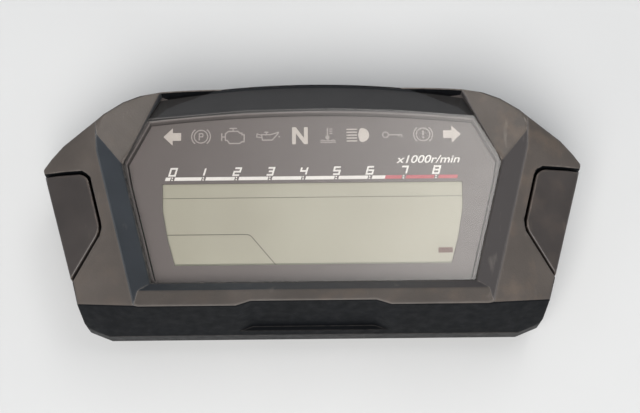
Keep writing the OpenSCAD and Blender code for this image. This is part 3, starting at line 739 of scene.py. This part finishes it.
def engine_symbol():
    body = [(-3.0, -1.5), (-3.0, 1.0), (-1.9, 1.9), (1.5, 1.9), (2.1, 1.2), (2.9, 1.2), (2.9, 0.6),
            (3.7, 0.6), (3.7, -2.1), (2.9, -2.1), (2.1, -2.7), (-1.5, -2.7), (-2.3, -1.5)]
    line = 0.45
    return [stroke(body, line, closed=True), stroke([(-1.6, 3.0), (1.1, 3.0)], line),
            stroke([(-0.25, 3.0), (-0.25, 1.9)], line), stroke([(-4.3, 1.2), (-4.3, -1.7)], line),
            stroke([(-4.3, -0.2), (-3.0, -0.2)], line)]


def oil_symbol():
    line = 0.42
    can = [(-2.0, -1.55), (-2.3, 0.5), (0.9, 0.5), (3.7, 1.35), (3.5, 0.75), (1.5, -1.55)]
    handle = [(-2.25, 0.25), (-3.9, 0.85), (-4.0, -0.35), (-2.15, -0.55)]
    return [stroke(can, line, closed=True), stroke(handle, 0.34),
            stroke([(-1.3, 1.45), (0.2, 1.45)], line),
            stroke([(-0.55, 1.45), (-0.55, 0.5)], line), disc((4.05, -0.35), 0.32)]


def neutral_symbol():
    bar, half, top = 1.35, 2.8, 3.2
    return [[[(-half, -top), (-half, top), (-half + bar, top), (half - bar, -0.9), (half - bar, top),
              (half, top), (half, -top), (half - bar, -top), (-half + bar, 0.9), (-half + bar, -top)]]]


def coolant_symbol():
    line = 0.36
    waves = [stroke([(-2.7, y), (-1.9, y + 0.35), (-0.9, y), (0, y + 0.35), (0.9, y), (1.9, y + 0.35),
                     (2.7, y)], line) for y in (-2.1, -2.8)]
    marks = [stroke([(0.45, y), (1.6, y)], line) for y in (2.4, 1.55, 0.7)]
    return waves + marks + [disc((-0.2, -0.75), 0.75), rectangle(-0.42, -0.3, 0.06, 2.8)]


def beam_symbol():
    lamp = arc((1.1, 0), 2.65, -90, 90)
    back = [Vector((0.35, 2.2)), Vector((-0.2, 0)), Vector((0.35, -2.2))]
    rays = [rectangle(-4.3, y - 0.2, -0.6, y + 0.2) for y in (-2.2, -1.1, 0, 1.1, 2.2)]
    return rays + [[lamp + back]]


def key_symbol():
    line = 0.4
    return [ring((-2.4, 0), 1.05, line), stroke([(-1.35, 0), (3.6, 0)], line),
            stroke([(3.4, 0), (3.4, -1.15)], line), stroke([(2.35, 0), (2.35, -0.9)], line)]


DIGITS = {
    "0": [([(0, 0), (0, 2), (1, 2), (1, 0)], True)],
    "1": [([(0.6, 0), (0.6, 2)], False)],
    "2": [([(0, 2), (1, 2), (1, 1), (0, 1), (0, 0), (1, 0)], False)],
    "3": [([(0, 2), (1, 2), (1, 0), (0, 0)], False), ([(0.2, 1), (0.9, 1)], False)],
    "4": [([(0, 2), (0, 1), (0.9, 1)], False), ([(1, 2), (1, 0)], False)],
    "5": [([(1, 2), (0, 2), (0, 1), (1, 1), (1, 0), (0, 0)], False)],
    "6": [([(1, 2), (0, 2), (0, 0), (1, 0), (1, 1), (0.1, 1)], False)],
    "7": [([(0, 2), (1, 2), (1, 0)], False)],
    "8": [([(0, 0), (0, 2), (1, 2), (1, 0)], True), ([(0.1, 1), (0.9, 1)], False)],
}
DIGIT_WIDTH = 2.05
DIGIT_HEIGHT = 2.6
DIGIT_LINE = 0.62
DIGIT_SLANT = 0.28
CAPTION_STRETCH = 1.18
CAPTION_BOLD = 0.045


def digit(symbol):
    shapes = []
    for points, closed in DIGITS[symbol]:
        path = [((x - 0.5) * DIGIT_WIDTH, (y - 1) * DIGIT_HEIGHT / 2) for x, y in points]
        shapes.append(stroke(path, DIGIT_LINE, closed))
    return shapes


def solid_from(shapes, low):
    """One mesh of prisms, INK thick, that stand on the height low."""
    joined = bmesh.new()
    for loops in shapes:
        curve = bpy.data.curves.new("loops", "CURVE")
        curve.dimensions = "2D"
        curve.fill_mode = "BOTH"
        curve.extrude = INK / 2 * MM
        for loop in loops:
            spline = curve.splines.new("POLY")
            spline.points.add(len(loop) - 1)
            for place, point in zip(spline.points, loop):
                place.co = (point[0] * MM, point[1] * MM, 0, 1)
            spline.use_cyclic_u = True
        add_curve(joined, curve, Matrix.Translation((0, 0, low + INK / 2 * MM)))
    return joined


def add_curve(joined, curve, place):
    holder = bpy.data.objects.new("holder", curve)
    bpy.context.scene.collection.objects.link(holder)
    mesh = bpy.data.meshes.new_from_object(holder)
    mesh.transform(place)
    joined.from_mesh(mesh)
    bpy.data.objects.remove(holder)
    bpy.data.meshes.remove(mesh)


def caption(joined, text, low):
    """Adds a line of bold, wide, sloping type that stands on the height low."""
    font = bpy.data.curves.new("caption", "FONT")
    font.body = text
    font.size = CAPTION_HEIGHT * MM
    font.shear = DIGIT_SLANT
    font.offset = CAPTION_BOLD * MM
    font.extrude = INK / 2 * MM
    place = Matrix.Translation((CAPTION_X * MM, CAPTION_Y * MM, low + INK / 2 * MM))
    add_curve(joined, font, place @ Matrix.Diagonal((CAPTION_STRETCH, 1, 1, 1)))


def print_piece(name, joined, material):
    bmesh.ops.remove_doubles(joined, verts=joined.verts, dist=0.0002 * MM)
    mesh = bpy.data.meshes.new(name)
    joined.to_mesh(mesh)
    joined.free()
    mesh.materials.append(material)
    piece = add_object(name, mesh)
    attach(piece, "case")
    return piece


TELLTALE_Y = 25.25
TELLTALES = [
    (-49.8, arrow_symbol, 1, "pale"), (-39.55, parking_symbol, 1, "faint"),
    (-27.85, engine_symbol, 1, "faint"), (-15.65, oil_symbol, 1, "faint"),
    (-4.25, neutral_symbol, 1, "pale"), (5.75, coolant_symbol, 1, "faint"),
    (16.7, beam_symbol, 1, "pale"), (28.7, key_symbol, 1, "faint"),
    (39.7, brake_symbol, 1, "faint"), (50.0, arrow_symbol, -1, "pale"),
]
DIAL_MARKS = [-49.6, -38.6, -26.9, -15.1, -3.3, 8.4, 20.2, 32.2, 43.7]
DIAL_LEFT, DIAL_RIGHT, REDLINE = -52.1, 51.2, 25.6
BAR_LOW, BAR_HIGH = 8.75, 10.0
DIGIT_Y = 11.95
DIGIT_SHIFT = 0.35
DOT, DOT_HEIGHT, DOT_LEAN = 0.5, 0.45, 0.1
CAPTION_X, CAPTION_Y, CAPTION_HEIGHT = 29.9, 14.6, 4.05


def telltale_shapes(kind):
    shapes = []
    for x, symbol, flip, ink_kind in TELLTALES:
        if ink_kind == kind:
            shapes += moved(symbol(), x, TELLTALE_Y, flip=flip)
    return shapes


def bar_between(x0, x1):
    lean = DIGIT_SLANT * (BAR_HIGH - BAR_LOW)
    return [[Vector((x0, BAR_LOW)), Vector((x1, BAR_LOW)), Vector((x1 + lean, BAR_HIGH)),
             Vector((x0 + lean, BAR_HIGH))]]


def scale_bar(start, end):
    """The bar, broken at each mark it meets."""
    gap = 0.75
    shapes = []
    left = start
    for mark in [m for m in DIAL_MARKS if start < m < end]:
        shapes.append(bar_between(left, mark - gap))
        left = mark + gap
    shapes.append(bar_between(left, end))
    return shapes


def make_display_print(mats):
    face = BOX["face_plate"][1].z + PRINT_LIFT * MM
    white = []
    for number, x in enumerate(DIAL_MARKS):
        white += moved(digit(str(number)), x + DIGIT_SHIFT, DIGIT_Y, slant=DIGIT_SLANT)
        left, right = x - DOT / 2, x + DOT / 2
        white += [rectangle(left, BAR_LOW, right, BAR_LOW + DOT_HEIGHT)]
        white += [rectangle(left + DOT_LEAN, BAR_HIGH - DOT_HEIGHT, right + DOT_LEAN, BAR_HIGH)]
    white += scale_bar(DIAL_LEFT, REDLINE)
    dial = solid_from(white, face)
    caption(dial, "x1000r/min", face)
    red = solid_from(scale_bar(REDLINE, DIAL_RIGHT), face)
    windows = solid_from(telltale_shapes("pale"), face)
    outlines = solid_from(telltale_shapes("faint"), face)
    print_piece("dial_print", dial, mats["ink_white"])
    print_piece("redline_print", red, mats["ink_red"])
    print_piece("telltale_windows", windows, mats["ink_pale"])
    print_piece("telltale_outlines", outlines, mats["ink_faint"])


def make_lcd_print(mats):
    glass = BOX["lcd_front_polarizer"][1].z + PRINT_LIFT * MM
    line = 0.22
    tab = [(-50.9, -10.9), (-23.4, -10.9)] + arc((-23.4, -13.6), 2.7, 84, 36, 6) + [(-13.0, -22.0)]
    dark = [stroke([(-52.6, 2.5), (52.6, 2.5)], line), stroke(tab, 0.3)]
    print_piece("lcd_lines", solid_from(dark, glass), mats["ink_dark"])
    block = [rectangle(43.7, -18.2, 48.7, -16.3)]
    print_piece("lcd_warning_block", solid_from(block, glass), mats["ink_brown"])


make_camera()
make_floor()
make_lights()
MATERIALS = make_materials()
make_moulded_pieces(MATERIALS)
finish_nodes(MATERIALS)
make_display_print(MATERIALS)
make_lcd_print(MATERIALS)
bpy.context.scene.view_settings.view_transform = "Standard"
